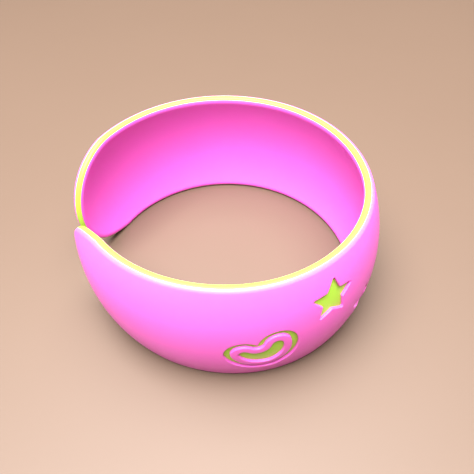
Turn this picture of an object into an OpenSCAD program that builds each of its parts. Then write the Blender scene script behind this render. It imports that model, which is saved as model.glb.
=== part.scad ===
// Open cuff bangle, pressed from a plastic sheet of three bonded layers: pink, lime, pink.
// The wall bulges outwards from rim to rim, both ends are rounded, and a heart and two stars are
// cut through the outer layer, so that the lime layer shows as their floor.
//
// The bangle stands on one rim, with the axis of the wrist opening upright. The origin is on the
// surface that it stands on, under the middle of its outer size. Angles are seen from above and
// counted from +X. The gap between the two ends is at -X, and the heart faces -Y.

/* [Ring seen from above] */
// Radius of the back left quarter of the ring, which ends at the rear end
back_left_r = 31.3; // [31:0.1:31.6]
// Radius of the back right quarter
back_right_r = 34.7; // [34.4:0.1:35]
// Radius of the front right quarter, the tightest bend, which carries the stars
front_right_r = 29.8; // [29.5:0.1:30.1]
// Radius of the front left quarter, which carries the heart and ends at the front end
front_left_r = 35; // [34.7:0.1:35.3]
// Angle of the rear end
rear_end_a = 176.6; // [170:0.1:179.5]
// Angle of the front end
front_end_a = -167.6; // [-171.5:0.1:-160]

/* [Wall] */
// Height of the bangle, from rim to rim
height = 31; // [30:0.5:36]
// Radius of the bulge in a cut through the wall, at the middle of its thickness
bulge_r = 40.2; // [34:0.1:60]
// Thickness of the outer and of the inner pink layer
skin_t = 0.6; // [0.45:0.05:0.8]
// Thickness of the lime layer between them
core_t = 1.2; // [0.8:0.1:1.8]
// Bond line left open between two layers
bond_t = 0.05; // [0.03:0.01:0.08]

/* [Ends] */
// Radius of the round tip of each end
tip_r = 15; // [12:0.1:15.2]
// Radius of the shoulders, where an end leaves the rims
shoulder_r = 25; // [22:0.5:32]

/* [Heart] */
// Angle at which the heart's middle faces
heart_a = -83.6; // [-90:0.1:-80]
// Height of the heart's middle over the middle of the wall
heart_z = -3.6; // [-5:0.1:0]
// Turn of the heart, anticlockwise as seen from outside
heart_turn = 18.9; // [-30:0.1:30]
// Radius of each of its two lobes
lobe_r = 4.2; // [4:0.1:4.5]
// Distance of a lobe's centre from the heart's centre line
lobe_x = 3.7; // [3.4:0.1:3.9]
// Radius of its flanks, which run from the lobes to the point
flank_r = 9.1; // [8.9:0.1:11]
// The same radius for the island, counted as if it filled the groove
island_flank_r = 8.5; // [8.3:0.1:8.9]
// The same radius for the hole in the island
hole_flank_r = 8.8; // [8.6:0.1:8.9]
// Width of the groove round the heart's island
groove_w = 1.3; // [0.8:0.1:1.5]
// Width of the island, a heart-shaped ring
island_w = 1.75; // [1.2:0.05:1.9]

/* [Stars] */
// Distance from a star's middle to its tips, before they are softened
star_tip = 5.6; // [4.5:0.1:5.8]
// Distance from a star's middle to its inner corners
star_waist = 2.75; // [2.2:0.05:3.5]
// Radius that softens the tips
star_round = 0.3; // [0.1:0.05:0.4]
// Turn of the stars, anticlockwise as seen from outside
star_turn = -5.5; // [-36:0.5:36]
// Angle at which the upper star faces
upper_star_a = -56.1; // [-60:0.1:-50]
// Height of the upper star over the middle of the wall
upper_star_z = 6.7; // [4:0.1:7.5]
// Angle at which the lower star faces
lower_star_a = -35; // [-40:0.1:-25]
// Height of the lower star over the middle of the wall
lower_star_z = -5.5; // [-7.5:0.1:0]

/* [Hidden] */
$fn = 96;
pink = [0.98, 0.50, 0.86];
deep_pink = [0.94, 0.36, 0.72];
lime = [0.78, 0.93, 0.30];

// Distances across the wall are counted outwards from the middle of its thickness
core_face = core_t / 2;
skin_foot = core_face + bond_t;
skin_face = skin_foot + skin_t;

// The edge round of the outer layer makes the rim's highest line
round_a = asin((height / 2 - skin_t) / (bulge_r + skin_foot));
rim_a = round_a + atan(skin_t / (bulge_r + skin_foot));
rim_z = bulge_r * sin(rim_a);
bulge_depth = bulge_r * (1 - cos(rim_a));

function toward(a) = [cos(a), sin(a)];

// Each quarter starts where the one before it ends, and its centre lies on their common normal
BACK_LEFT = 0;
FRONT_RIGHT = 2;
FRONT_LEFT = 3;
quarter_r = [back_left_r, back_right_r, front_right_r, front_left_r];
quarter_from = [90, 0, -90, front_end_a];
quarter_to = [rear_end_a, 90, 0, -90];
quarter_c = [[0, 0],
             [0, back_left_r - back_right_r],
             [back_right_r - front_right_r, back_left_r - back_right_r],
             [back_right_r - front_right_r, back_left_r - back_right_r + front_left_r - front_right_r]];

// The outer size is centred on the origin, to a hundredth of a millimetre
outer = bulge_depth + skin_face;
function hundredth(x) = round(100 * x) / 100;
middle_x = hundredth((quarter_c[1][0] + back_right_r + outer + (back_left_r + outer) * cos(rear_end_a)) / 2);
middle_y = hundredth((back_left_r + quarter_c[FRONT_LEFT][1] - front_left_r) / 2);

// Size of the cutters, and how far past an end they go
reach = 80;
past_end_a = 5;

// Moves to the axis of one quarter, at the middle of the wall's height
module at_quarter(i) {
    translate([-middle_x, -middle_y, height / 2])
        translate(quarter_c[i])
            children();
}

// Wedge of the cut through the wall, up to an angle above and below its middle
module wedge(a) {
    side = 2 * bulge_r;
    polygon([[0, 0], side * toward(-a), side * toward(a)]);
}

module ring_2d(r_in, r_out) {
    difference() {
        circle(r_out);
        circle(r_in);
    }
}

// Cut through the lime layer, drawn about the centre of the bulge
module core_cut() {
    intersection() {
        ring_2d(bulge_r - core_face, bulge_r + core_face);
        wedge(rim_a);
    }
}

// Cut through a pink layer from its foot, which faces the lime layer. A quarter round ends it
module skin_cut(foot, face) {
    intersection() {
        ring_2d(bulge_r + min(foot, face), bulge_r + max(foot, face));
        union() {
            wedge(round_a);
            for (a = [-round_a, round_a])
                rotate(a)
                    translate([bulge_r + foot, 0])
                        circle(skin_t);
        }
    }
}

// A cut through the wall swept along all four quarters
module sweep() {
    for (i = [BACK_LEFT:FRONT_LEFT])
        at_quarter(i)
            rotate_extrude(angle = quarter_to[i] - quarter_from[i], start = quarter_from[i])
                translate([quarter_r[i] - bulge_r * cos(rim_a), 0])
                    children();
}

// Cone with its point on the quarter's axis, so that it cuts the wall square to its face
module cone(a, tilt, opening) {
    rotate([0, 90 - tilt, a])
        cylinder(h = reach, r1 = 0, r2 = reach * tan(opening));
}

// Slice of space seen from the quarter's axis, from one angle to another
module slice(from, to) {
    rotate_extrude(angle = to - from, start = from)
        translate([0, -reach / 2])
            square([reach, reach]);
}

// What is cut off one end: all that lies outside its tip and its two shoulders.
// side is +1 where the wall runs on at smaller angles, and -1 where it runs on at larger ones.
module end_waste(i, end_a, side) {
    wall_r = quarter_r[i] + bulge_depth;
    tip = tip_r / wall_r * 180 / PI;
    shoulder = shoulder_r / wall_r * 180 / PI;
    // The shoulders touch a line just past the rims, so that they run out of them cleanly
    rim_clear = 0.15;
    shoulder_tilt = atan((rim_z + rim_clear) / quarter_r[i]) - shoulder;
    tip_a = end_a - side * tip;
    shoulder_turn = acos(cos(shoulder - tip) / cos(shoulder_tilt));
    shoulder_a = tip_a - side * shoulder_turn;
    // Angle at which tip and shoulders touch, on the great circle through their middles
    join_x = sin(shoulder) - sin(tip) * cos(shoulder_tilt) * cos(shoulder_turn);
    join_y = sin(tip) * cos(shoulder_tilt) * sin(shoulder_turn);
    join_a = tip_a + side * atan2(join_y, join_x);
    beyond = end_a + side * past_end_a;
    // The tip reaches a hair past the shoulders, so that they cross and don't only touch
    crossing = 0.01;
    at_quarter(i)
        difference() {
            slice(min(shoulder_a, beyond), max(shoulder_a, beyond));
            intersection() {
                cone(shoulder_a, shoulder_tilt, shoulder);
                cone(shoulder_a, -shoulder_tilt, shoulder);
                slice(min(shoulder_a - side, join_a), max(shoulder_a - side, join_a));
            }
            cone(tip_a, 0, tip + crossing / wall_r * 180 / PI);
        }
}

// A layer of the wall with both its ends rounded
module layer() {
    difference() {
        sweep()
            children();
        end_waste(BACK_LEFT, rear_end_a, 1);
        end_waste(FRONT_LEFT, front_end_a, -1);
    }
}

// A straight cutter that comes from inside the ring and leaves through the outer face, square to it.
// Its outline is drawn as seen from outside, with +Y up
module through_skin(i, a, z) {
    tilt = asin(z / (bulge_r + skin_face));
    at_quarter(i)
        rotate([0, 0, a])
            translate([quarter_r[i] - bulge_r * cos(rim_a), 0, 0])
                rotate([0, -tilt, 0])
                    rotate([90, 0, 90])
                        translate([0, 0, bulge_r / 2])
                            linear_extrude(bulge_r)
                                children();
}

// Depth of the heart's point under the line through its lobes
function heart_depth(flank) = sqrt(pow(flank, 2) - pow(lobe_x + lobe_r - flank, 2));

// Heart of two lobes and two flanks, all of them arcs, drawn about the middle of the outer outline.
// The inset moves it inwards, and the notch between the lobes then opens into an arc of that radius
module heart(inset, flank) {
    flank_x = lobe_x + lobe_r - flank;
    notch_y = sqrt(lobe_r * lobe_r - lobe_x * lobe_x);
    side = lobe_x + lobe_r;
    below = -2 * heart_depth(flank);
    translate([0, (heart_depth(flank_r) - lobe_r) / 2])
        difference() {
            union() {
                translate([-lobe_x, 0])
                    circle(lobe_r - inset);
                translate([lobe_x, 0])
                    circle(lobe_r - inset);
                intersection() {
                    translate([-flank_x, 0])
                        circle(flank - inset);
                    translate([flank_x, 0])
                        circle(flank - inset);
                    polygon([[-side, 0], [-lobe_x, 0], [0, notch_y], [lobe_x, 0], [side, 0],
                             [side, below], [-side, below]]);
                }
            }
            if (inset > 0)
                translate([0, notch_y])
                    circle(inset);
        }
}

// Five-pointed star with softened tips
module star() {
    points = [for (k = [0:9]) (k % 2 == 0 ? star_tip : star_waist) * toward(90 + 36 * k)];
    offset(r = star_round, $fn = 32)
        offset(delta = -star_round)
            polygon(points);
}

module heart_cutter(inset, flank) {
    through_skin(FRONT_LEFT, heart_a, heart_z)
        rotate(heart_turn)
            heart(inset, flank);
}

module star_cutter(a, z) {
    through_skin(FRONT_RIGHT, a, z)
        rotate(star_turn)
            star();
}

module outer_shell() {
    color(pink)
        difference() {
            layer()
                skin_cut(skin_foot, skin_face);
            heart_cutter(0, flank_r);
            star_cutter(upper_star_a, upper_star_z);
            star_cutter(lower_star_a, lower_star_z);
        }
}

module core_band() {
    color(lime)
        layer()
            core_cut();
}

module inner_lining() {
    color(deep_pink)
        layer()
            skin_cut(-skin_foot, -skin_face);
}

module heart_island() {
    color(pink)
        intersection() {
            sweep()
                skin_cut(skin_foot, skin_face);
            difference() {
                heart_cutter(groove_w, island_flank_r);
                heart_cutter(groove_w + island_w, hole_flank_r);
            }
        }
}

outer_shell();
core_band();
inner_lining();
heart_island();
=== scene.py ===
# %% [markdown]
# # An open bangle of laminated plastic
#
# The real bangle is cut from a flat sheet made of three bonded layers: pink, lime and pink. The strip
# is heated, bent round a form that also gives it a barrel-shaped bulge, and tumbled until its edges
# are round and its faces shine softly. A heart and two stars are routed through the outer layer, so
# that the lime layer shows as their floor.
#
# This lesson builds it as the maker sees it. Everything is first drawn on the flat strip, in
# millimetres along it and up it, and one function then bends the strip into the bulging ring.

import bmesh
import bpy
import numpy as np
from mathutils import Matrix, Vector


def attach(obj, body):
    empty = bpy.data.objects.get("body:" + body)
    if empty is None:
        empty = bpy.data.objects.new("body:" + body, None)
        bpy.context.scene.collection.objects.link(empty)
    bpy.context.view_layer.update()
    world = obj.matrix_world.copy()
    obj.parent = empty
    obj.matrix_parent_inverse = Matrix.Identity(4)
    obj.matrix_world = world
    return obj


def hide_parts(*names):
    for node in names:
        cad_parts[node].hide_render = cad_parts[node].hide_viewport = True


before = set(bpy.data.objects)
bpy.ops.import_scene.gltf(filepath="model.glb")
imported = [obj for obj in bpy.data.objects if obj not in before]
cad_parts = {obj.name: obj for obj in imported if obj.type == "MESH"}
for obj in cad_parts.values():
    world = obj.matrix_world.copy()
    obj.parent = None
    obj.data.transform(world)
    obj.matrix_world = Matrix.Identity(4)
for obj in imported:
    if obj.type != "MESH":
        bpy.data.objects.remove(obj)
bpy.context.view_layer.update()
print("nodes of the packed model:", sorted(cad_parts))

# %% [markdown]
# ## The sizes that drive everything
#
# The ring is nearly round, but it is bent by hand, so each quarter has a radius of its own. A cut
# through the wall is an arc as well, a much flatter one, and that arc is the bulge. The bangle's sizes
# are in millimetres, and are made metres only when a mesh is written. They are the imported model's own
# sizes, so that each new surface lies on the solid that it stands for.

# %% Sizes of the sheet
HEIGHT = 31.0
BULGE_R = 40.2
CORE_FACE = 0.6
BOND_T = 0.05
SKIN_T = 0.6
SKIN_FOOT = CORE_FACE + BOND_T
SKIN_FACE = SKIN_FOOT + SKIN_T

# Tumbling takes a hair off both faces
POLISH = 0.01
FACE = SKIN_FACE - POLISH
print(f"the sheet is {2 * FACE:.2f} mm thick")

# %% Sizes of the ring and its ends
# Quarters in the order in which the strip runs: front left, front right, back right, back left
QUARTER_R = np.array([35.0, 29.8, 34.7, 31.3])
QUARTER_TURNS = np.radians([-167.6, -90.0, 0.0, 90.0, 176.6])
TIP_R = 15.0
SHOULDER_R = 25.0

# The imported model's highest line lies on the rounded edge of its pink layers
ROUND_RISE = np.arcsin((HEIGHT / 2 - SKIN_T) / (BULGE_R + SKIN_FOOT))
RIM_RISE = ROUND_RISE + np.arctan(SKIN_T / (BULGE_R + SKIN_FOOT))
BULGE = BULGE_R * (1 - np.cos(RIM_RISE))
FACE_OUT = BULGE + SKIN_FACE

# The worn edge is round all over and lies lower than a square one, so the strip runs on a little
NOSE_MORE = 0.262
RIM_UP = BULGE_R * RIM_RISE + NOSE_MORE
EDGE_RISE = RIM_UP / BULGE_R
print(f"the strip is {2 * RIM_UP:.1f} mm wide, and bulges by {BULGE:.2f} mm")

# %% [markdown]
# ## From the flat strip to the ring
#
# Two neighbouring quarters meet where their radii lie on one line, so that the ring has no kink.
# That puts each quarter's centre. The whole is then centred on its outer size, to a hundredth of a
# millimetre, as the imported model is.

# %% Centres of the quarters and the strip's running length
front_left_r, front_right_r, back_right_r, back_left_r = QUARTER_R
shift_x = back_right_r - front_right_r
shift_y = back_left_r - back_right_r
centres = np.array([[shift_x, shift_y + front_left_r - front_right_r],
                    [shift_x, shift_y],
                    [0, shift_y],
                    [0, 0]])
left_x = (back_left_r + FACE_OUT) * np.cos(QUARTER_TURNS[-1])
middle = [(back_right_r + FACE_OUT + left_x) / 2, (back_left_r + centres[0, 1] - front_left_r) / 2]
CENTRES = centres - np.round(middle, 2)

# Radius at the bulge's crest, where lengths along the strip are true, and from the arc's own centre
CREST_R = QUARTER_R + BULGE
ARC_R = QUARTER_R - BULGE_R * np.cos(RIM_RISE)
RUN = np.concatenate([[0], np.cumsum(CREST_R * np.diff(QUARTER_TURNS))])
print(f"the strip is {RUN[-1]:.1f} mm long at its crest")

# %% [markdown]
# Blender could bend a flat mesh with a modifier, but a modifier knows nothing of four radii and a
# bulge. A function does, and it takes whole arrays, so that any outline drawn on the flat strip can be
# sent through it in one call.


# %% The function that bends the strip
def wall(along, up, out):
    """Points of the bent strip, in mm.

    'along' runs from the front end's tip to the rear end's, 'up' from the crest towards the rims, and
    'out' from the middle of the sheet's thickness. The turn round the ring is the length along a
    quarter over its crest radius. The rise is the length up over the bulge's radius. A point then lies
    at the arc's centre, plus the bulge's radius and 'out' in the direction of that rise."""
    along, up, out = np.broadcast_arrays(along, up, out)
    quarter = np.clip(np.searchsorted(RUN, along, side="right") - 1, 0, 3)
    turn = QUARTER_TURNS[quarter] + (along - RUN[quarter]) / CREST_R[quarter]
    rise = up / BULGE_R
    radius = ARC_R[quarter] + (BULGE_R + out) * np.cos(rise)
    x = CENTRES[quarter, 0] + radius * np.cos(turn)
    y = CENTRES[quarter, 1] + radius * np.sin(turn)
    z = HEIGHT / 2 + (BULGE_R + out) * np.sin(rise)
    return np.stack([x, y, z], -1)


print("the crest's middle lies at", wall(RUN[-1] / 2, 0, FACE).round(1).tolist())

# %% [markdown]
# ## The rounded ends
#
# Seen from the ring's axis, each end is a round tip between two long shoulders, which run out of the
# rims. All three are circles on a sphere round that axis, so the sheet is cut square to its faces.
# A tip and a shoulder touch where the line through both middles meets them. Angles on a sphere give
# the outline exactly, where a drawn curve would only come near it.


# %% Points at a fixed distance from a middle, on a sphere
def from_axis(middle_turn, middle_rise, reach, bearing):
    """Turn and rise of a point that lies 'reach' radians from a middle, in the direction 'bearing',
    which counts from straight up towards the tip: the law of cosines on a sphere."""
    sin_rise = (np.sin(middle_rise) * np.cos(reach)
                + np.cos(middle_rise) * np.sin(reach) * np.cos(bearing))
    turn = middle_turn + np.arctan2(np.sin(bearing) * np.sin(reach) * np.cos(middle_rise),
                                    np.cos(reach) - np.sin(middle_rise) * sin_rise)
    return turn, sin_rise


test_turn, test_sin_rise = from_axis(0, 0, 0.1, 0)
print(f"0.1 radians straight up: turn {test_turn:.2f}, rise {np.arcsin(test_sin_rise):.2f}")

# %% One end's outline
# How far past the rims the shoulders' circles reach, and which share of the points lies on them
RIM_CLEAR = 0.3
ON_SHOULDER = 0.4


def end_outline(end, share, inset, out):
    """Upper half of an end's outline, as lengths along and up.

    'share' runs from 0 at the rim to 1 at the tip. 'inset' moves the outline inwards. The first part
    of the shares lies on the shoulder and the rest on the tip."""
    quarter, side, tip_turn = (3, 1, QUARTER_TURNS[-1]) if end == "rear" else (0, -1, QUARTER_TURNS[0])
    crest_r, arc_r = CREST_R[quarter], ARC_R[quarter]
    tip, shoulder = TIP_R / crest_r, SHOULDER_R / crest_r
    # How low the shoulder's middle lies, and how far the tip's middle has turned away from it
    low = np.arctan((BULGE_R * np.sin(EDGE_RISE) + RIM_CLEAR) / QUARTER_R[quarter]) - shoulder
    swing = np.arccos(np.cos(shoulder - tip) / np.cos(low))

    # Bearings at which the shoulder leaves the rim, and at which shoulder and tip touch
    rim = EDGE_RISE - inset / BULGE_R
    rim_seen = np.arctan2((BULGE_R + out) * np.sin(rim), arc_r + (BULGE_R + out) * np.cos(rim))
    shoulder_in, tip_in = shoulder - inset / crest_r, tip - inset / crest_r
    leave = np.arccos((np.sin(rim_seen) - np.sin(low) * np.cos(shoulder_in))
                      / (np.cos(low) * np.sin(shoulder_in)))
    touch = np.arctan2(np.sin(swing), -np.sin(low) * np.cos(swing))
    touch_tip = np.arctan2(np.sin(swing) * np.cos(low), -np.sin(low))

    on_tip = share > ON_SHOULDER
    along_tip = (share - ON_SHOULDER) / (1 - ON_SHOULDER)
    bearing = np.where(on_tip, touch_tip + (np.pi / 2 - touch_tip) * along_tip,
                       leave + (touch - leave) * share / ON_SHOULDER)
    seen_turn, sin_rise = from_axis(np.where(on_tip, swing, 0), np.where(on_tip, 0, low),
                                    np.where(on_tip, tip_in, shoulder_in), bearing)
    # The turn seen counts from the shoulder's middle towards the tip
    turn = tip_turn + side * (seen_turn - swing - tip)
    rise = np.arcsin(sin_rise) + np.arcsin(arc_r * sin_rise / (BULGE_R + out))
    return RUN[quarter] + crest_r * (turn - QUARTER_TURNS[quarter]), BULGE_R * rise


for end in ("front", "rear"):
    along, up = end_outline(end, np.array([0.0, 1.0]), 0, FACE)
    print(f"{end} end: {abs(along[1] - along[0]):.1f} mm from where it leaves the rims to its tip")

# %% [markdown]
# ## The worn edge
#
# A cut sheet has square edges. Tumbling rounds them, and here all three layers wear as one, so the
# rim shows pink, lime and pink bands on one round nose. Its inner side is rounded further, which is
# more comfortable to wear. The rims are ground a little flatter than square to the sheet, so that the
# bangle stands well, and that turns the lime band up to the eye. A Bevel modifier would round each
# layer by itself. A profile that runs on from layer to layer keeps the bands flush.

# %% Profile of the edge
NOSE_OUTSIDE, NOSE_INSIDE = 0.95, 1.7
NOSE_LEAN = np.tan(np.radians(10))
NOSE_STEPS = 12
# The lime layer swells by the flare over the last stretch before the edge
FLARE_LONG, FLARE = 1.7, 0.1
FLARE_POINTS = 8
# The gap between two layers, and how far the lime edge falls back beside it
SEAM = 0.01
SEAM_DIP = 0.04
foot = CORE_FACE + SEAM
edge_face, edge_foot = CORE_FACE + FLARE, foot + FLARE


def nose(first_out, last_out, steps):
    """A stretch of the worn edge, as insets and outs. It is two quarters of ellipses that meet in the
    middle of the sheet. The inset is an ellipse's depth less its part across the edge, plus a lean
    that grows with 'out'."""
    angle = np.linspace(np.arcsin(first_out / FACE), np.arcsin(last_out / FACE), steps + 1)
    deep = np.where(angle > 0, NOSE_OUTSIDE, NOSE_INSIDE)
    out = FACE * np.sin(angle)
    return np.stack([deep * (1 - np.cos(angle)) + NOSE_LEAN * out, out], -1)


def nose_inset(out):
    """Inset of the worn edge at one distance from the sheet's middle."""
    return nose(out, out, 1)[0, 0]


def flare(from_out, to_out, last_inset):
    """The bond line near the edge, where the press has let the lime layer swell. It parts from the
    even sheet with the square of the way to the edge."""
    share = np.linspace(0, 1, FLARE_POINTS)
    return np.stack([FLARE_LONG + (last_inset - FLARE_LONG) * share,
                     from_out + (to_out - from_out) * share ** 2], -1)


print(f"the lime band is {2 * edge_face:.1f} mm of a {2 * FACE:.2f} mm edge")
print(f"the edge is {nose_inset(FACE):.2f} mm deep outside and {nose_inset(-FACE):.2f} mm inside")

# %% [markdown]
# ## The routed motifs
#
# A router follows a template laid on the outside of the wall, and goes straight in along the wall's
# normal at the motif's middle. So each outline is drawn flat, in arcs and lines, and moved straight
# through the sheet. An outline drawn with an inset has the same points, each moved along its normal,
# so outlines of different insets can be joined point to point. A boolean would need no such care, but
# it leaves long thin faces that shade badly on a glossy wall.

# %% Outline helpers
# Tumbling rounds the corners that stand into a motif: the heart's notch and the star's waists
CORNER_R = 0.22


def turned(points, angle):
    """Flat points turned anticlockwise about their origin."""
    c, s = np.cos(angle), np.sin(angle)
    return points @ np.array([[c, s], [-s, c]])


def arc(middle_x, middle_y, radius, start, stop, steps, last=False):
    """Points of an arc, with or without its last one."""
    angle = np.linspace(start, stop, steps + last, endpoint=last)
    return np.stack([middle_x + radius * np.cos(angle), middle_y + radius * np.sin(angle)], -1)


print("a quarter circle in two steps:", arc(0, 0, 1, 0, np.pi / 2, 2, last=True).round(2).tolist())

# %% Heart
HEART = {"lobe_r": 4.2, "lobe_x": 3.7, "groove": 1.3, "island": 1.75}
# The flanks' radius by inset: that of the outline, of the island and of the hole in the island, and
# a mix of two between them
FLANK_INSETS, FLANK_RADII = [0.6, 0.9, 1.6, 2.7], [9.1, 8.5, 8.5, 8.8]
HEART_STEPS = {"notch": 6, "lobe": 38, "flank": 36}


def heart_depth(flank_r):
    """How far the heart's point lies under the line through its lobes: a leg of a right triangle."""
    return np.sqrt(flank_r ** 2 - (HEART["lobe_x"] + HEART["lobe_r"] - flank_r) ** 2)


def heart_outline(inset):
    """Two lobes and two flanks, anticlockwise from the notch. The flanks' circles touch the lobes at
    the sides and cross at the point below. A small arc softens the notch."""
    lobe_r, lobe_x = HEART["lobe_r"], HEART["lobe_x"]
    flank_r = np.interp(inset, FLANK_INSETS, FLANK_RADII)
    flank_x = lobe_r + lobe_x - flank_r
    notch_y = np.sqrt((lobe_r + CORNER_R) ** 2 - lobe_x ** 2)
    tilt = np.arctan2(notch_y, lobe_x)
    point = np.arccos(-flank_x / (flank_r - inset))
    notch, lobe, flank = HEART_STEPS["notch"], HEART_STEPS["lobe"], HEART_STEPS["flank"]
    outline = np.concatenate([
        arc(0, notch_y, CORNER_R + inset, -np.pi / 2, tilt - np.pi, notch),
        arc(-lobe_x, 0, lobe_r - inset, tilt, np.pi, lobe),
        arc(-flank_x, 0, flank_r - inset, np.pi, np.pi + point, flank),
        arc(flank_x, 0, flank_r - inset, -point, 0, flank),
        arc(lobe_x, 0, lobe_r - inset, 0, np.pi - tilt, lobe),
        arc(0, notch_y, CORNER_R + inset, -tilt, -np.pi / 2, notch)])
    return outline + [0, (heart_depth(FLANK_RADII[0]) - lobe_r) / 2]


heart_size = np.ptp(heart_outline(0), axis=0)
print(f"the heart is {heart_size[0]:.1f} mm wide and {heart_size[1]:.1f} mm high")

# %% Star
# The tips are as round as the cutter is, which works from inside the star
STAR = {"tip": 5.6, "waist": 2.75, "tip_round": 0.3}
STAR_STEPS = {"tip": 6, "edge": 7, "waist": 4}
FIFTH = 2 * np.pi / 5


def star_outline(inset):
    """Five tips, anticlockwise from the top one. Each fifth is a tip's arc, a straight edge, the small
    arc of a waist and the next edge, and is turned by 72 degrees from the one before."""
    waist = STAR["waist"] * np.array([np.cos(FIFTH / 2), np.sin(FIFTH / 2)])
    half_tip = np.arctan2(waist[1], STAR["tip"] - waist[0])
    half_waist = half_tip + FIFTH / 2
    tip_middle = STAR["tip"] - STAR["tip_round"] / np.sin(half_tip)
    waist_middle = turned(np.array([STAR["waist"] + CORNER_R / np.sin(half_waist), 0]), FIFTH / 2)
    tip_span, waist_span = np.pi / 2 - half_tip, np.pi / 2 - half_waist
    inwards = np.pi + FIFTH / 2
    tips = arc(tip_middle, 0, STAR["tip_round"] - inset, -tip_span, tip_span,
               STAR_STEPS["tip"], last=True)
    waists = arc(*waist_middle, CORNER_R + inset, inwards + waist_span, inwards - waist_span,
                 STAR_STEPS["waist"], last=True)
    share = np.arange(1, STAR_STEPS["edge"])[:, None] / STAR_STEPS["edge"]
    down = tips[-1] + (waists[0] - tips[-1]) * share
    up = waists[-1] + (turned(tips[0], FIFTH) - waists[-1]) * share
    fifth = np.concatenate([tips, down, waists, up])
    return np.concatenate([turned(fifth, np.pi / 2 + k * FIFTH) for k in range(5)])


print(f"a star is {np.ptp(star_outline(0)[:, 0]):.1f} mm wide")

# %% [markdown]
# The outlines are still flat. A template lies on the plane that touches the wall at the motif's
# middle, and the cutter goes in along that plane's normal. To find where it comes out of the curved
# wall, each point moves along the normal by what it still lacks. A few rounds of that settle it, as
# the wall is nearly square to the normal all over the motif.

# %% Where the motifs are
MOTIFS = {
    "heart": {"draw": heart_outline, "quarter": 0, "turn": -83.6, "height": -3.6, "tilt": 18.9},
    "upper_star": {"draw": star_outline, "quarter": 1, "turn": -56.1, "height": 6.7, "tilt": -5.5},
    "lower_star": {"draw": star_outline, "quarter": 1, "turn": -35.0, "height": -5.5, "tilt": -5.5},
}
SETTLE_STEPS = 20


def routed(name, inset, out):
    """Where the motif's outline comes out of the wall at 'out', as lengths along and up: points of a
    plane, each moved along the plane's normal until its distance from the arc's centre fits."""
    motif = MOTIFS[name]
    turn = np.radians(motif["turn"])
    lean = np.arcsin(motif["height"] / (BULGE_R + SKIN_FACE))
    ahead = np.array([-np.sin(turn), np.cos(turn), 0])
    outwards = np.array([np.cos(lean) * np.cos(turn), np.cos(lean) * np.sin(turn), np.sin(lean)])
    upwards = np.cross(outwards, ahead)
    quarter = motif["quarter"]
    away = ARC_R[quarter] * np.array([np.cos(turn), np.sin(turn)])
    axis = np.array([*(CENTRES[quarter] + away), HEIGHT / 2])
    flat = turned(motif["draw"](inset), np.radians(motif["tilt"]))
    start = axis + flat[:, :1] * ahead + flat[:, 1:] * upwards
    depth = np.full(len(flat), BULGE_R + out)
    for step in range(SETTLE_STEPS):
        point = start + depth[:, None] * outwards
        # The front left quarter and the front right one meet under their common centre line
        on = np.where(point[:, 0] < CENTRES[0, 0], 0, 1)
        offset = point[:, :2] - CENTRES[on]
        from_arc = np.hypot(*offset.T) - ARC_R[on]
        height = point[:, 2] - HEIGHT / 2
        depth += out - (np.hypot(from_arc, height) - BULGE_R)
    along = RUN[on] + CREST_R[on] * (np.arctan2(offset[:, 1], offset[:, 0]) - QUARTER_TURNS[on])
    return along, BULGE_R * np.arctan2(height, from_arc)


places = {name: [(c.min(), c.max()) for c in routed(name, 0, SKIN_FACE)] for name in MOTIFS}
for name, (along, up) in places.items():
    print(f"{name}: {along[0]:.1f} to {along[1]:.1f} mm along, {up[0]:.1f} to {up[1]:.1f} mm up")

# %% [markdown]
# ## A grid over the strip
#
# The wall's faces are one grid from rim to rim. Round each motif the grid leaves a window, and rings
# of faces lead from the window's frame to the motif's outline. Both have the same number of points,
# so no face ends in the middle of another one's side. Such a mesh shades evenly without any modifier.

# %% Rows, columns and windows
ROWS = 38
PLAIN_STEP = 0.8
END_STEPS = 48
RING_STEPS = 9
HEART_COLUMNS, STAR_COLUMNS = 40, 30
row_up = (RIM_UP - nose_inset(FACE)) / ROWS


def half_window(name, wide):
    """First and last row of a window 'wide' columns across, so that its frame has as many points as
    the motif's outline has: half of them are on one row and one column."""
    tall = len(MOTIFS[name]["draw"](0)) // 2 - wide
    low = round((np.mean(places[name][1]) / row_up) - tall / 2)
    return low, low + tall


star_middles = [np.mean(places[name][0]) for name in ("upper_star", "lower_star")]
between_stars = np.mean(star_middles)
before_stars, after_stars = (2 * star - between_stars for star in star_middles)
before_heart = 2 * np.mean(places["heart"][0]) - before_stars
# Name, start, stop and columns of each window
WINDOWS = [("heart", before_heart, before_stars, HEART_COLUMNS),
           ("upper_star", before_stars, between_stars, STAR_COLUMNS),
           ("lower_star", between_stars, after_stars, STAR_COLUMNS)]


def columns(inset, out):
    """Lengths along at which the grid has its columns, from one end's shoulder to the other's."""
    start, stop = (end_outline(end, np.array([0.0]), inset, out)[0][0] for end in ("front", "rear"))
    left = np.linspace(start, before_heart, round(before_heart / PLAIN_STEP), endpoint=False)
    right = np.linspace(after_stars, stop, round((RUN[-1] - after_stars) / PLAIN_STEP) + 1)
    windows = [np.linspace(a, b, steps, endpoint=False) for name, a, b, steps in WINDOWS]
    return np.concatenate([left, *windows, right])


print(f"{len(columns(0, FACE))} columns and {2 * ROWS + 1} rows, {row_up:.2f} mm apart")


# %% Patches of faces
def patch(grid, wrap=False, keep=None):
    """A grid of points and its four-sided faces. 'wrap' joins the last line of points to the first."""
    index = np.arange(grid.shape[0] * grid.shape[1]).reshape(grid.shape[:2])
    if wrap:
        index = np.concatenate([index, index[:1]])
    faces = np.stack([index[:-1, :-1], index[1:, :-1], index[1:, 1:], index[:-1, 1:]], -1)
    faces = faces[keep] if keep is not None else faces.reshape(-1, 4)
    return grid.reshape(-1, 3), faces


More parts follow.
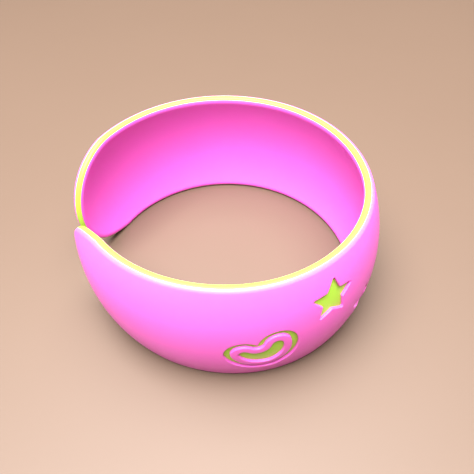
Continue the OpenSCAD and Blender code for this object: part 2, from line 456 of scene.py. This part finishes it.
def end_fan(end, inset, out):
    """The rounded end of a face: rays from the crest, where the shoulders begin, to the outline."""
    share = np.linspace(0, 1, END_STEPS + 1)
    along, up = end_outline(end, share, inset, out)
    along, up = np.append(along, along[-2::-1]), np.append(up, -up[-2::-1])
    reach = np.linspace(0, 1, ROWS + 1)
    return patch(wall(along[0] + np.outer(along - along[0], reach), np.outer(up, reach), out))


print("faces of a rounded end:", len(end_fan("front", 0, FACE)[1]))

# %% [markdown]
# A window's frame is a rectangle and a motif is not, so the rings between them change shape from one
# to the other. Mixing points straight across could let faces fold over at the heart's notch. In polar
# form about the motif's middle, angles and distances are mixed apart, and the rings stay clean.


# %% Windows and the rings inside them
def window_frame(name, inset, out):
    """The window's frame, anticlockwise as seen from outside, and its first column, row and size."""
    at = columns(inset, out)
    start, wide = next((a, n) for window, a, b, n in WINDOWS if window == name)
    first = int(np.argmin(np.abs(at - start)))
    low, high = half_window(name, wide)
    across, rise = at[first:first + wide + 1], (RIM_UP - inset) * np.arange(low, high + 1) / ROWS
    tall = high - low
    along = np.concatenate([across[:-1], np.full(tall, across[-1]),
                            across[:0:-1], np.full(tall, across[0])])
    up = np.concatenate([np.full(wide, rise[0]), rise[:-1], np.full(wide, rise[-1]), rise[:0:-1]])
    return along, up, (first, low + ROWS, wide, tall)


def rings(frame_loop, outline):
    """Rings from a window's frame to an outline, in polar form about the outline's middle.

    Each point's angle moves evenly from its angle on the frame to that on the outline. Its distance
    is the frame's and the outline's distance at that angle, mixed as a product of powers."""
    middle = np.mean([outline.min(0), outline.max(0)], axis=0)
    polar = []
    for loop in (frame_loop, outline):
        x, y = (loop - middle).T
        polar.append((np.unwrap(np.arctan2(y, x)), np.log(np.hypot(x, y))))
    (frame_angle, frame_far), (angle, far) = polar
    roll = int(np.argmin(np.abs(np.angle(np.exp(1j * (frame_angle - angle[0]))))))
    frame_angle = np.unwrap(np.roll(frame_angle, -roll) % (2 * np.pi))
    frame_far = np.roll(frame_far, -roll)
    frame_angle += 2 * np.pi * np.round((angle[0] - frame_angle[0]) / (2 * np.pi))
    share = np.linspace(0, 1, RING_STEPS + 1)[:, None]
    now = frame_angle + (angle - frame_angle) * share
    grid_far = ((1 - share) * np.interp(now, frame_angle, frame_far, period=2 * np.pi)
                + share * np.interp(now, angle, far, period=2 * np.pi))
    grid = middle + np.exp(grid_far)[..., None] * np.stack([np.cos(now), np.sin(now)], -1)
    grid[0], grid[-1] = np.roll(frame_loop, -roll, axis=0), outline
    return grid


for name, motif in MOTIFS.items():
    on_frame = len(window_frame(name, nose_inset(FACE), FACE)[0])
    print(f"{name}: {on_frame} points on the frame, {len(motif['draw'](0))} on the outline")


# %% A whole face of a layer
def wall_face(inset, out, motif_inset=None):
    """All patches of one face of a layer. With 'motif_inset' it has the motifs' holes."""
    at = columns(inset, out)
    up = (RIM_UP - inset) * np.arange(-ROWS, ROWS + 1) / ROWS
    keep = np.ones((len(up) - 1, len(at) - 1), bool)
    patches = [end_fan("front", inset, out), end_fan("rear", inset, out)]
    for name, *rest in WINDOWS if motif_inset is not None else []:
        along, rise, (column, row, wide, tall) = window_frame(name, inset, out)
        keep[row:row + tall, column:column + wide] = False
        grid = rings(np.stack([along, rise], -1), np.stack(routed(name, motif_inset, out), -1))
        patches.append(patch(wall(grid[..., 0].T, grid[..., 1].T, out), wrap=True))
    patches.append(patch(wall(at[None], up[:, None], out), keep=keep))
    return patches


print("faces of a plain layer's face:", sum(len(faces) for points, faces in wall_face(0, FACE)))

# %% [markdown]
# ## Edges as profiles carried along a line
#
# What closes a layer is always a narrow strip: the edge round the whole bangle, and the wall of each
# routed motif. Both are a profile, given as pairs of inset and out, carried along a closed line.


# %% Strips round the bangle and round the motifs
LIP_WIDE, LIP_DEEP = 0.2, 0.28
LIP_STEPS = 6


def edge_loop(inset, out):
    """A closed line round the whole strip: upper rim, rear end, lower rim, front end."""
    at = columns(inset, out)
    share = np.linspace(0, 1, END_STEPS + 1)
    rim_up = np.full(len(at) - 1, RIM_UP - inset)
    ends = {}
    for end in ("rear", "front"):
        along, up = end_outline(end, share, inset, out)
        ends[end] = (np.append(along, along[-2::-1])[:-1], np.append(up, -up[-2::-1])[:-1])
    along = np.concatenate([at[:-1], ends["rear"][0], at[:0:-1], ends["front"][0]])
    up = np.concatenate([rim_up, ends["rear"][1], -rim_up, -ends["front"][1]])
    return wall(along, up, out)


def edge_strip(profile):
    """A profile carried along the whole edge of the bangle."""
    return patch(np.stack([edge_loop(inset, out) for inset, out in profile], 1), wrap=True)


def carved_strip(name, profile):
    """A profile carried along a motif's outline."""
    loops = [wall(*routed(name, inset, out), out) for inset, out in profile]
    return patch(np.stack(loops, 1), wrap=True)


# The rounded lip of a routed edge, from the face to the wall: how far it lies beside the cut and
# under the face. It is a quarter of an ellipse, wide by sine and deep by cosine
lip_angle = np.linspace(0, np.pi / 2, LIP_STEPS + 1)
lip = list(zip(LIP_WIDE * (1 - np.sin(lip_angle)), LIP_DEEP * (1 - np.cos(lip_angle))))
print("the edge's line has", len(edge_loop(0, 0)), "points")

# %% [markdown]
# ## From patches to an object
#
# Neighbouring patches share their border points, so merging doubles closes the piece. Its normals are
# then turned outwards all at once. Faces are smooth, and edges that turn by more than 40 degrees are
# kept sharp. Those are the hidden feet of the layers and the bottom of the routed walls. A signed
# volume above zero shows that the piece isn't inside out, and no open edges that it is closed.

# %% Mesh maker
MM = 0.001
WELD = 1e-6
SHARP_FROM = np.radians(40)
print(f"points closer than {WELD / MM:.3f} mm are merged")


def make_piece(name, patches, material, node):
    """One closed piece from its patches. It rides on the body, stands for its node, takes its slot."""
    points = np.concatenate([p for p, f in patches]) * MM
    starts = np.cumsum([0] + [len(p) for p, f in patches[:-1]])
    faces = np.concatenate([f + start for (p, f), start in zip(patches, starts)])
    assert np.isfinite(points).all(), name
    mesh = bpy.data.meshes.new(name)
    mesh.from_pydata(points, [], faces.tolist())
    work = bmesh.new()
    work.from_mesh(mesh)
    bmesh.ops.remove_doubles(work, verts=work.verts, dist=WELD)
    bmesh.ops.recalc_face_normals(work, faces=work.faces)
    open_edges = sum(not edge.is_manifold for edge in work.edges)
    volume = work.calc_volume(signed=True) / MM ** 3
    work.to_mesh(mesh)
    work.free()
    mesh.shade_smooth()
    mesh.set_sharp_from_angle(angle=SHARP_FROM)
    mesh.materials.append(material)
    piece = bpy.data.objects.new(name, mesh)
    bpy.context.scene.collection.objects.link(piece)
    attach(piece, "root")
    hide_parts(node)
    print(f"{name}: {len(mesh.polygons)} faces, {volume:.1f} mm3, {open_edges} open edges")


# %% [markdown]
# ## Colours and nodes
#
# A colour picker gives sRGB, while Blender's shaders count in linear light. One function changes the
# first into the second. Another adds a node, sets it and links it, so that a material reads from top
# to bottom like a list.


# %% Colours and nodes
def linear(code):
    """An sRGB hex colour as linear red, green, blue and alpha."""
    value = np.array([int(code[i:i + 2], 16) for i in (1, 3, 5)]) / 255
    value = np.where(value <= 0.04045, value / 12.92, ((value + 0.055) / 1.055) ** 2.4)
    return (*value.tolist(), 1.0)


def add_node(tree, kind, settings=(), inputs=()):
    """Adds a node, sets its properties, and gives its sockets values or links."""
    node = tree.nodes.new(kind)
    for key, value in dict(settings).items():
        setattr(node, key, value)
    for key, value in dict(inputs).items():
        if isinstance(value, bpy.types.NodeSocket):
            tree.links.new(value, node.inputs[key])
        else:
            node.inputs[key].default_value = value
    return node


print("half grey in linear light:", round(linear("#808080")[0], 3))

# %% [markdown]
# ## The plastic
#
# The sheet is cast acrylic, coloured all through. Three things make it look like that and not like
# paint. Light enters it a little, less than a millimetre, and comes out softer and warmer. The
# pigment isn't quite even, so a wide, faint cloud moves the colour between two near shades. And
# tumbling leaves a fine grain, 0.4 mm across here, which breaks up the reflections. The real grain is
# finer, but it wouldn't show. Acrylic's IOR is 1.49. A tumbled face reflects less than a polished
# one, so the specular level is below the usual half.

# %% Cast acrylic, tumbled
CLOUD_PER_M = 60.0
GRAIN_PER_M = 2500.0
GRAIN_DEEP = 0.05 * MM
GRAIN_STRENGTH = 0.05
GLOSS_SPREAD = 0.05
# How far red, green and blue light travel in the plastic, as parts of a millimetre
TRAVEL = (1.0, 0.4, 0.8)


def tumbled_acrylic(name, colour, shade, roughness):
    """Cast acrylic sheet: two near shades in a cloud, a fine grain in gloss and bump, some depth."""
    material = bpy.data.materials.new(name)
    material.use_nodes = True
    tree = material.node_tree
    tree.nodes.clear()
    place = add_node(tree, "ShaderNodeTexCoord").outputs["Object"]
    cloud = add_node(tree, "ShaderNodeTexNoise", {},
                     {"Vector": place, "Scale": CLOUD_PER_M, "Detail": 3.0})
    tint = add_node(tree, "ShaderNodeMix", {"data_type": "RGBA"},
                    {0: cloud.outputs[0], 6: linear(colour), 7: linear(shade)})
    grain = add_node(tree, "ShaderNodeTexNoise", {},
                     {"Vector": place, "Scale": GRAIN_PER_M, "Detail": 2.0})
    gloss = add_node(tree, "ShaderNodeMapRange", {},
                     {0: grain.outputs[0], 3: roughness - GLOSS_SPREAD, 4: roughness + GLOSS_SPREAD})
    bump = add_node(tree, "ShaderNodeBump", {},
                    {"Height": grain.outputs[0], "Strength": GRAIN_STRENGTH, "Distance": GRAIN_DEEP})
    shader = add_node(tree, "ShaderNodeBsdfPrincipled", {}, {
        "Base Color": tint.outputs[2], "Roughness": gloss.outputs[0], "Normal": bump.outputs[0],
        "IOR": 1.49, "Specular IOR Level": 0.25,
        "Subsurface Weight": 0.15, "Subsurface Radius": TRAVEL, "Subsurface Scale": MM})
    add_node(tree, "ShaderNodeOutputMaterial", {}, {"Surface": shader.outputs[0]})
    return material


# The outer face is handled most and shines most. The lime layer shows only where it was cut or
# ground, so it is the dullest
outer_pink = tumbled_acrylic("outer_pink_cast_acrylic", "#e765c3", "#e360be", 0.36)
inner_pink = tumbled_acrylic("inner_pink_cast_acrylic", "#e764c9", "#e25fc4", 0.38)
core_lime = tumbled_acrylic("core_lime_cast_acrylic", "#a7d242", "#9fca3e", 0.46)
print("plastics:", [material.name for material in (outer_pink, inner_pink, core_lime)])

# %% [markdown]
# ## The three layers
#
# Each layer is two faces, one on each side, and the strip that joins them. The outer layer's faces
# have the motifs' holes, and routed walls that join the holes' rims. A seam of a hundredth of a
# millimetre keeps the layers apart, and the lime layer dips at the seam, which draws the fine line
# that a bond shows on a real edge.

# %% Outer layer
outer_strip = np.concatenate([nose(FACE, edge_foot, NOSE_STEPS),
                              flare(foot, edge_foot, nose_inset(edge_foot))[-2::-1]])
motif_profile = [(-beside, FACE - under) for beside, under in lip] + [(0, foot)]
outer_patches = wall_face(nose_inset(FACE), FACE, -LIP_WIDE) + wall_face(FLARE_LONG, foot, 0)
outer_patches += [edge_strip(outer_strip)] + [carved_strip(name, motif_profile) for name in MOTIFS]
make_piece("outer_skin", outer_patches, outer_pink, "outer_shell")

# %% Lime layer
# A high power keeps the dip close to the seams
DIP_POWER = 4
core_nose = nose(edge_face, -edge_face, NOSE_STEPS)
core_nose[:, 0] += SEAM_DIP * (core_nose[:, 1] / edge_face) ** DIP_POWER
core_strip = np.concatenate([flare(CORE_FACE, edge_face, core_nose[0, 0])[:-1], core_nose,
                             flare(-CORE_FACE, -edge_face, core_nose[-1, 0])[-2::-1]])
core_patches = wall_face(FLARE_LONG, CORE_FACE) + wall_face(FLARE_LONG, -CORE_FACE)
core_patches += [edge_strip(core_strip)]
make_piece("lime_core", core_patches, core_lime, "core_band")

# %% Inner layer
inner_strip = np.concatenate([nose(-FACE, -edge_foot, NOSE_STEPS),
                              flare(-foot, -edge_foot, nose_inset(-edge_foot))[-2::-1]])
inner_patches = wall_face(nose_inset(-FACE), -FACE) + wall_face(FLARE_LONG, -foot)
inner_patches += [edge_strip(inner_strip)]
make_piece("inner_skin", inner_patches, inner_pink, "inner_lining")

# %% [markdown]
# ## The heart's island
#
# Inside the heart's groove a second, thinner heart stands, with a hole of its own. It is one closed
# profile, a box with two rounded upper corners, carried once round the heart.

# %% Island
FLAT_STEPS = 5
outer_side, inner_side = HEART["groove"], HEART["groove"] + HEART["island"]
top = np.linspace(outer_side + LIP_WIDE, inner_side - LIP_WIDE, FLAT_STEPS)[1:-1]
island_profile = [(outer_side, foot)]
island_profile += [(outer_side + beside, FACE - under) for beside, under in lip[::-1]]
island_profile += [(inset, FACE) for inset in top]
island_profile += [(inner_side - beside, FACE - under) for beside, under in lip]
island_profile += [(inset, foot) for inset in np.linspace(inner_side, outer_side, FLAT_STEPS)]
island_patches = [carved_strip("heart", island_profile)]
make_piece("heart_ring", island_patches, outer_pink, "heart_island")

# %% [markdown]
# ## Camera
#
# The photograph is taken from in front and above, at 47 degrees, with the camera turned a little in
# its own plane. Place, tilt and focal length come from fitting the rims and the motifs of the model
# to those in the picture. The camera's three axes are worked out from pitch and roll, and written
# straight into its matrix.

# %% Camera
FOCAL_PX = 508.9
FRAME_PX = 474
PITCH, ROLL = 0.8205, -0.0623
CAMERA_AT = np.array([3.28, -89.69, 105.83]) * MM

forward = np.array([0, np.cos(PITCH), -np.sin(PITCH)])
level_up = np.array([0, np.sin(PITCH), np.cos(PITCH)])
level_right = np.array([1.0, 0, 0])
right = np.cos(ROLL) * level_right + np.sin(ROLL) * level_up
upright = -np.sin(ROLL) * level_right + np.cos(ROLL) * level_up
camera_data = bpy.data.cameras.new("camera")
camera_data.sensor_width = 36
camera_data.lens = FOCAL_PX * camera_data.sensor_width / FRAME_PX
camera_data.clip_start = 0.005
camera = bpy.data.objects.new("camera", camera_data)
axes = np.stack([right, upright, -forward, CAMERA_AT], 1)
camera.matrix_world = Matrix([*axes.tolist(), [0, 0, 0, 1]])
bpy.context.scene.collection.objects.link(camera)
bpy.context.scene.camera = camera
print(f"camera: {camera_data.lens:.1f} mm lens, pitch {np.degrees(PITCH):.1f} degrees")

# %% [markdown]
# ## Floor
#
# A plain sheet of warm, matte paper, far larger than the picture. Under strong light from above it
# looks pale, and it throws some warm light back at the wall's lower half. A faint mottle keeps it
# from looking like an empty background.

# %% Floor
FLOOR_HALF = 2.0
MOTTLE_PER_M = 25.0
floor_mesh = bpy.data.meshes.new("floor")
floor_corners = np.array([(-1, -1, 0), (1, -1, 0), (1, 1, 0), (-1, 1, 0)]) * FLOOR_HALF
floor_mesh.from_pydata(floor_corners.tolist(), [], [(0, 1, 2, 3)])

warm_paper = bpy.data.materials.new("warm_matte_paper")
warm_paper.use_nodes = True
tree = warm_paper.node_tree
tree.nodes.clear()
place = add_node(tree, "ShaderNodeTexCoord").outputs["Object"]
mottle = add_node(tree, "ShaderNodeTexNoise", {},
                  {"Vector": place, "Scale": MOTTLE_PER_M, "Detail": 5.0})
paper_tint = add_node(tree, "ShaderNodeMix", {"data_type": "RGBA"},
                      {0: mottle.outputs[0], 6: linear("#574436"), 7: linear("#554234")})
paper = add_node(tree, "ShaderNodeBsdfPrincipled", {},
                 {"Base Color": paper_tint.outputs[2], "Roughness": 0.6})
add_node(tree, "ShaderNodeOutputMaterial", {}, {"Surface": paper.outputs[0]})

floor_mesh.materials.append(warm_paper)
floor = bpy.data.objects.new("floor", floor_mesh)
bpy.context.scene.collection.objects.link(floor)
print(f"floor: {2 * FLOOR_HALF:.0f} m square")

# %% [markdown]
# ## Light
#
# In the photograph, the wall is brightest along its upper edge and darkest under its bulge, and it
# has no hard shadow. So the light comes from above, from something large. One soft box hangs over
# the ring, a second one stands a little to the front left, and a dim, even surround fills the rest.
# Their strengths come from rendering each one alone and fitting the sum to the photograph's shades.

# %% Light
surround = bpy.data.worlds.new("surround")
surround.use_nodes = True
surround.node_tree.nodes["Background"].inputs["Color"].default_value = linear("#f4f2f0")
surround.node_tree.nodes["Background"].inputs["Strength"].default_value = 0.2
bpy.context.scene.world = surround


def softbox(name, place, target, size, power):
    """A square area light that faces its target."""
    data = bpy.data.lights.new(name, "AREA")
    data.shape, data.size, data.energy = "SQUARE", size, power
    lamp = bpy.data.objects.new(name, data)
    lamp.location = place
    lamp.rotation_euler = (Vector(target) - Vector(place)).to_track_quat("-Z", "Y").to_euler()
    bpy.context.scene.collection.objects.link(lamp)
    print(f"{name}: {size:.2f} m square, {power:.0f} W")


ring_middle = (0, 0, HEIGHT / 2 * MM)
softbox("front_left_box", (-0.09, -0.12, 0.69), ring_middle, 0.55, 20.0)
softbox("overhead_box", (0, 0, 0.71), ring_middle, 0.8, 20.0)
bpy.context.scene.view_settings.view_transform = "Standard"

# %% [markdown]
# ## The end
#
# Last, the view layer is brought up to date. The new surfaces have to stay inside the imported model's
# box.

# %% The end
bpy.context.view_layer.update()
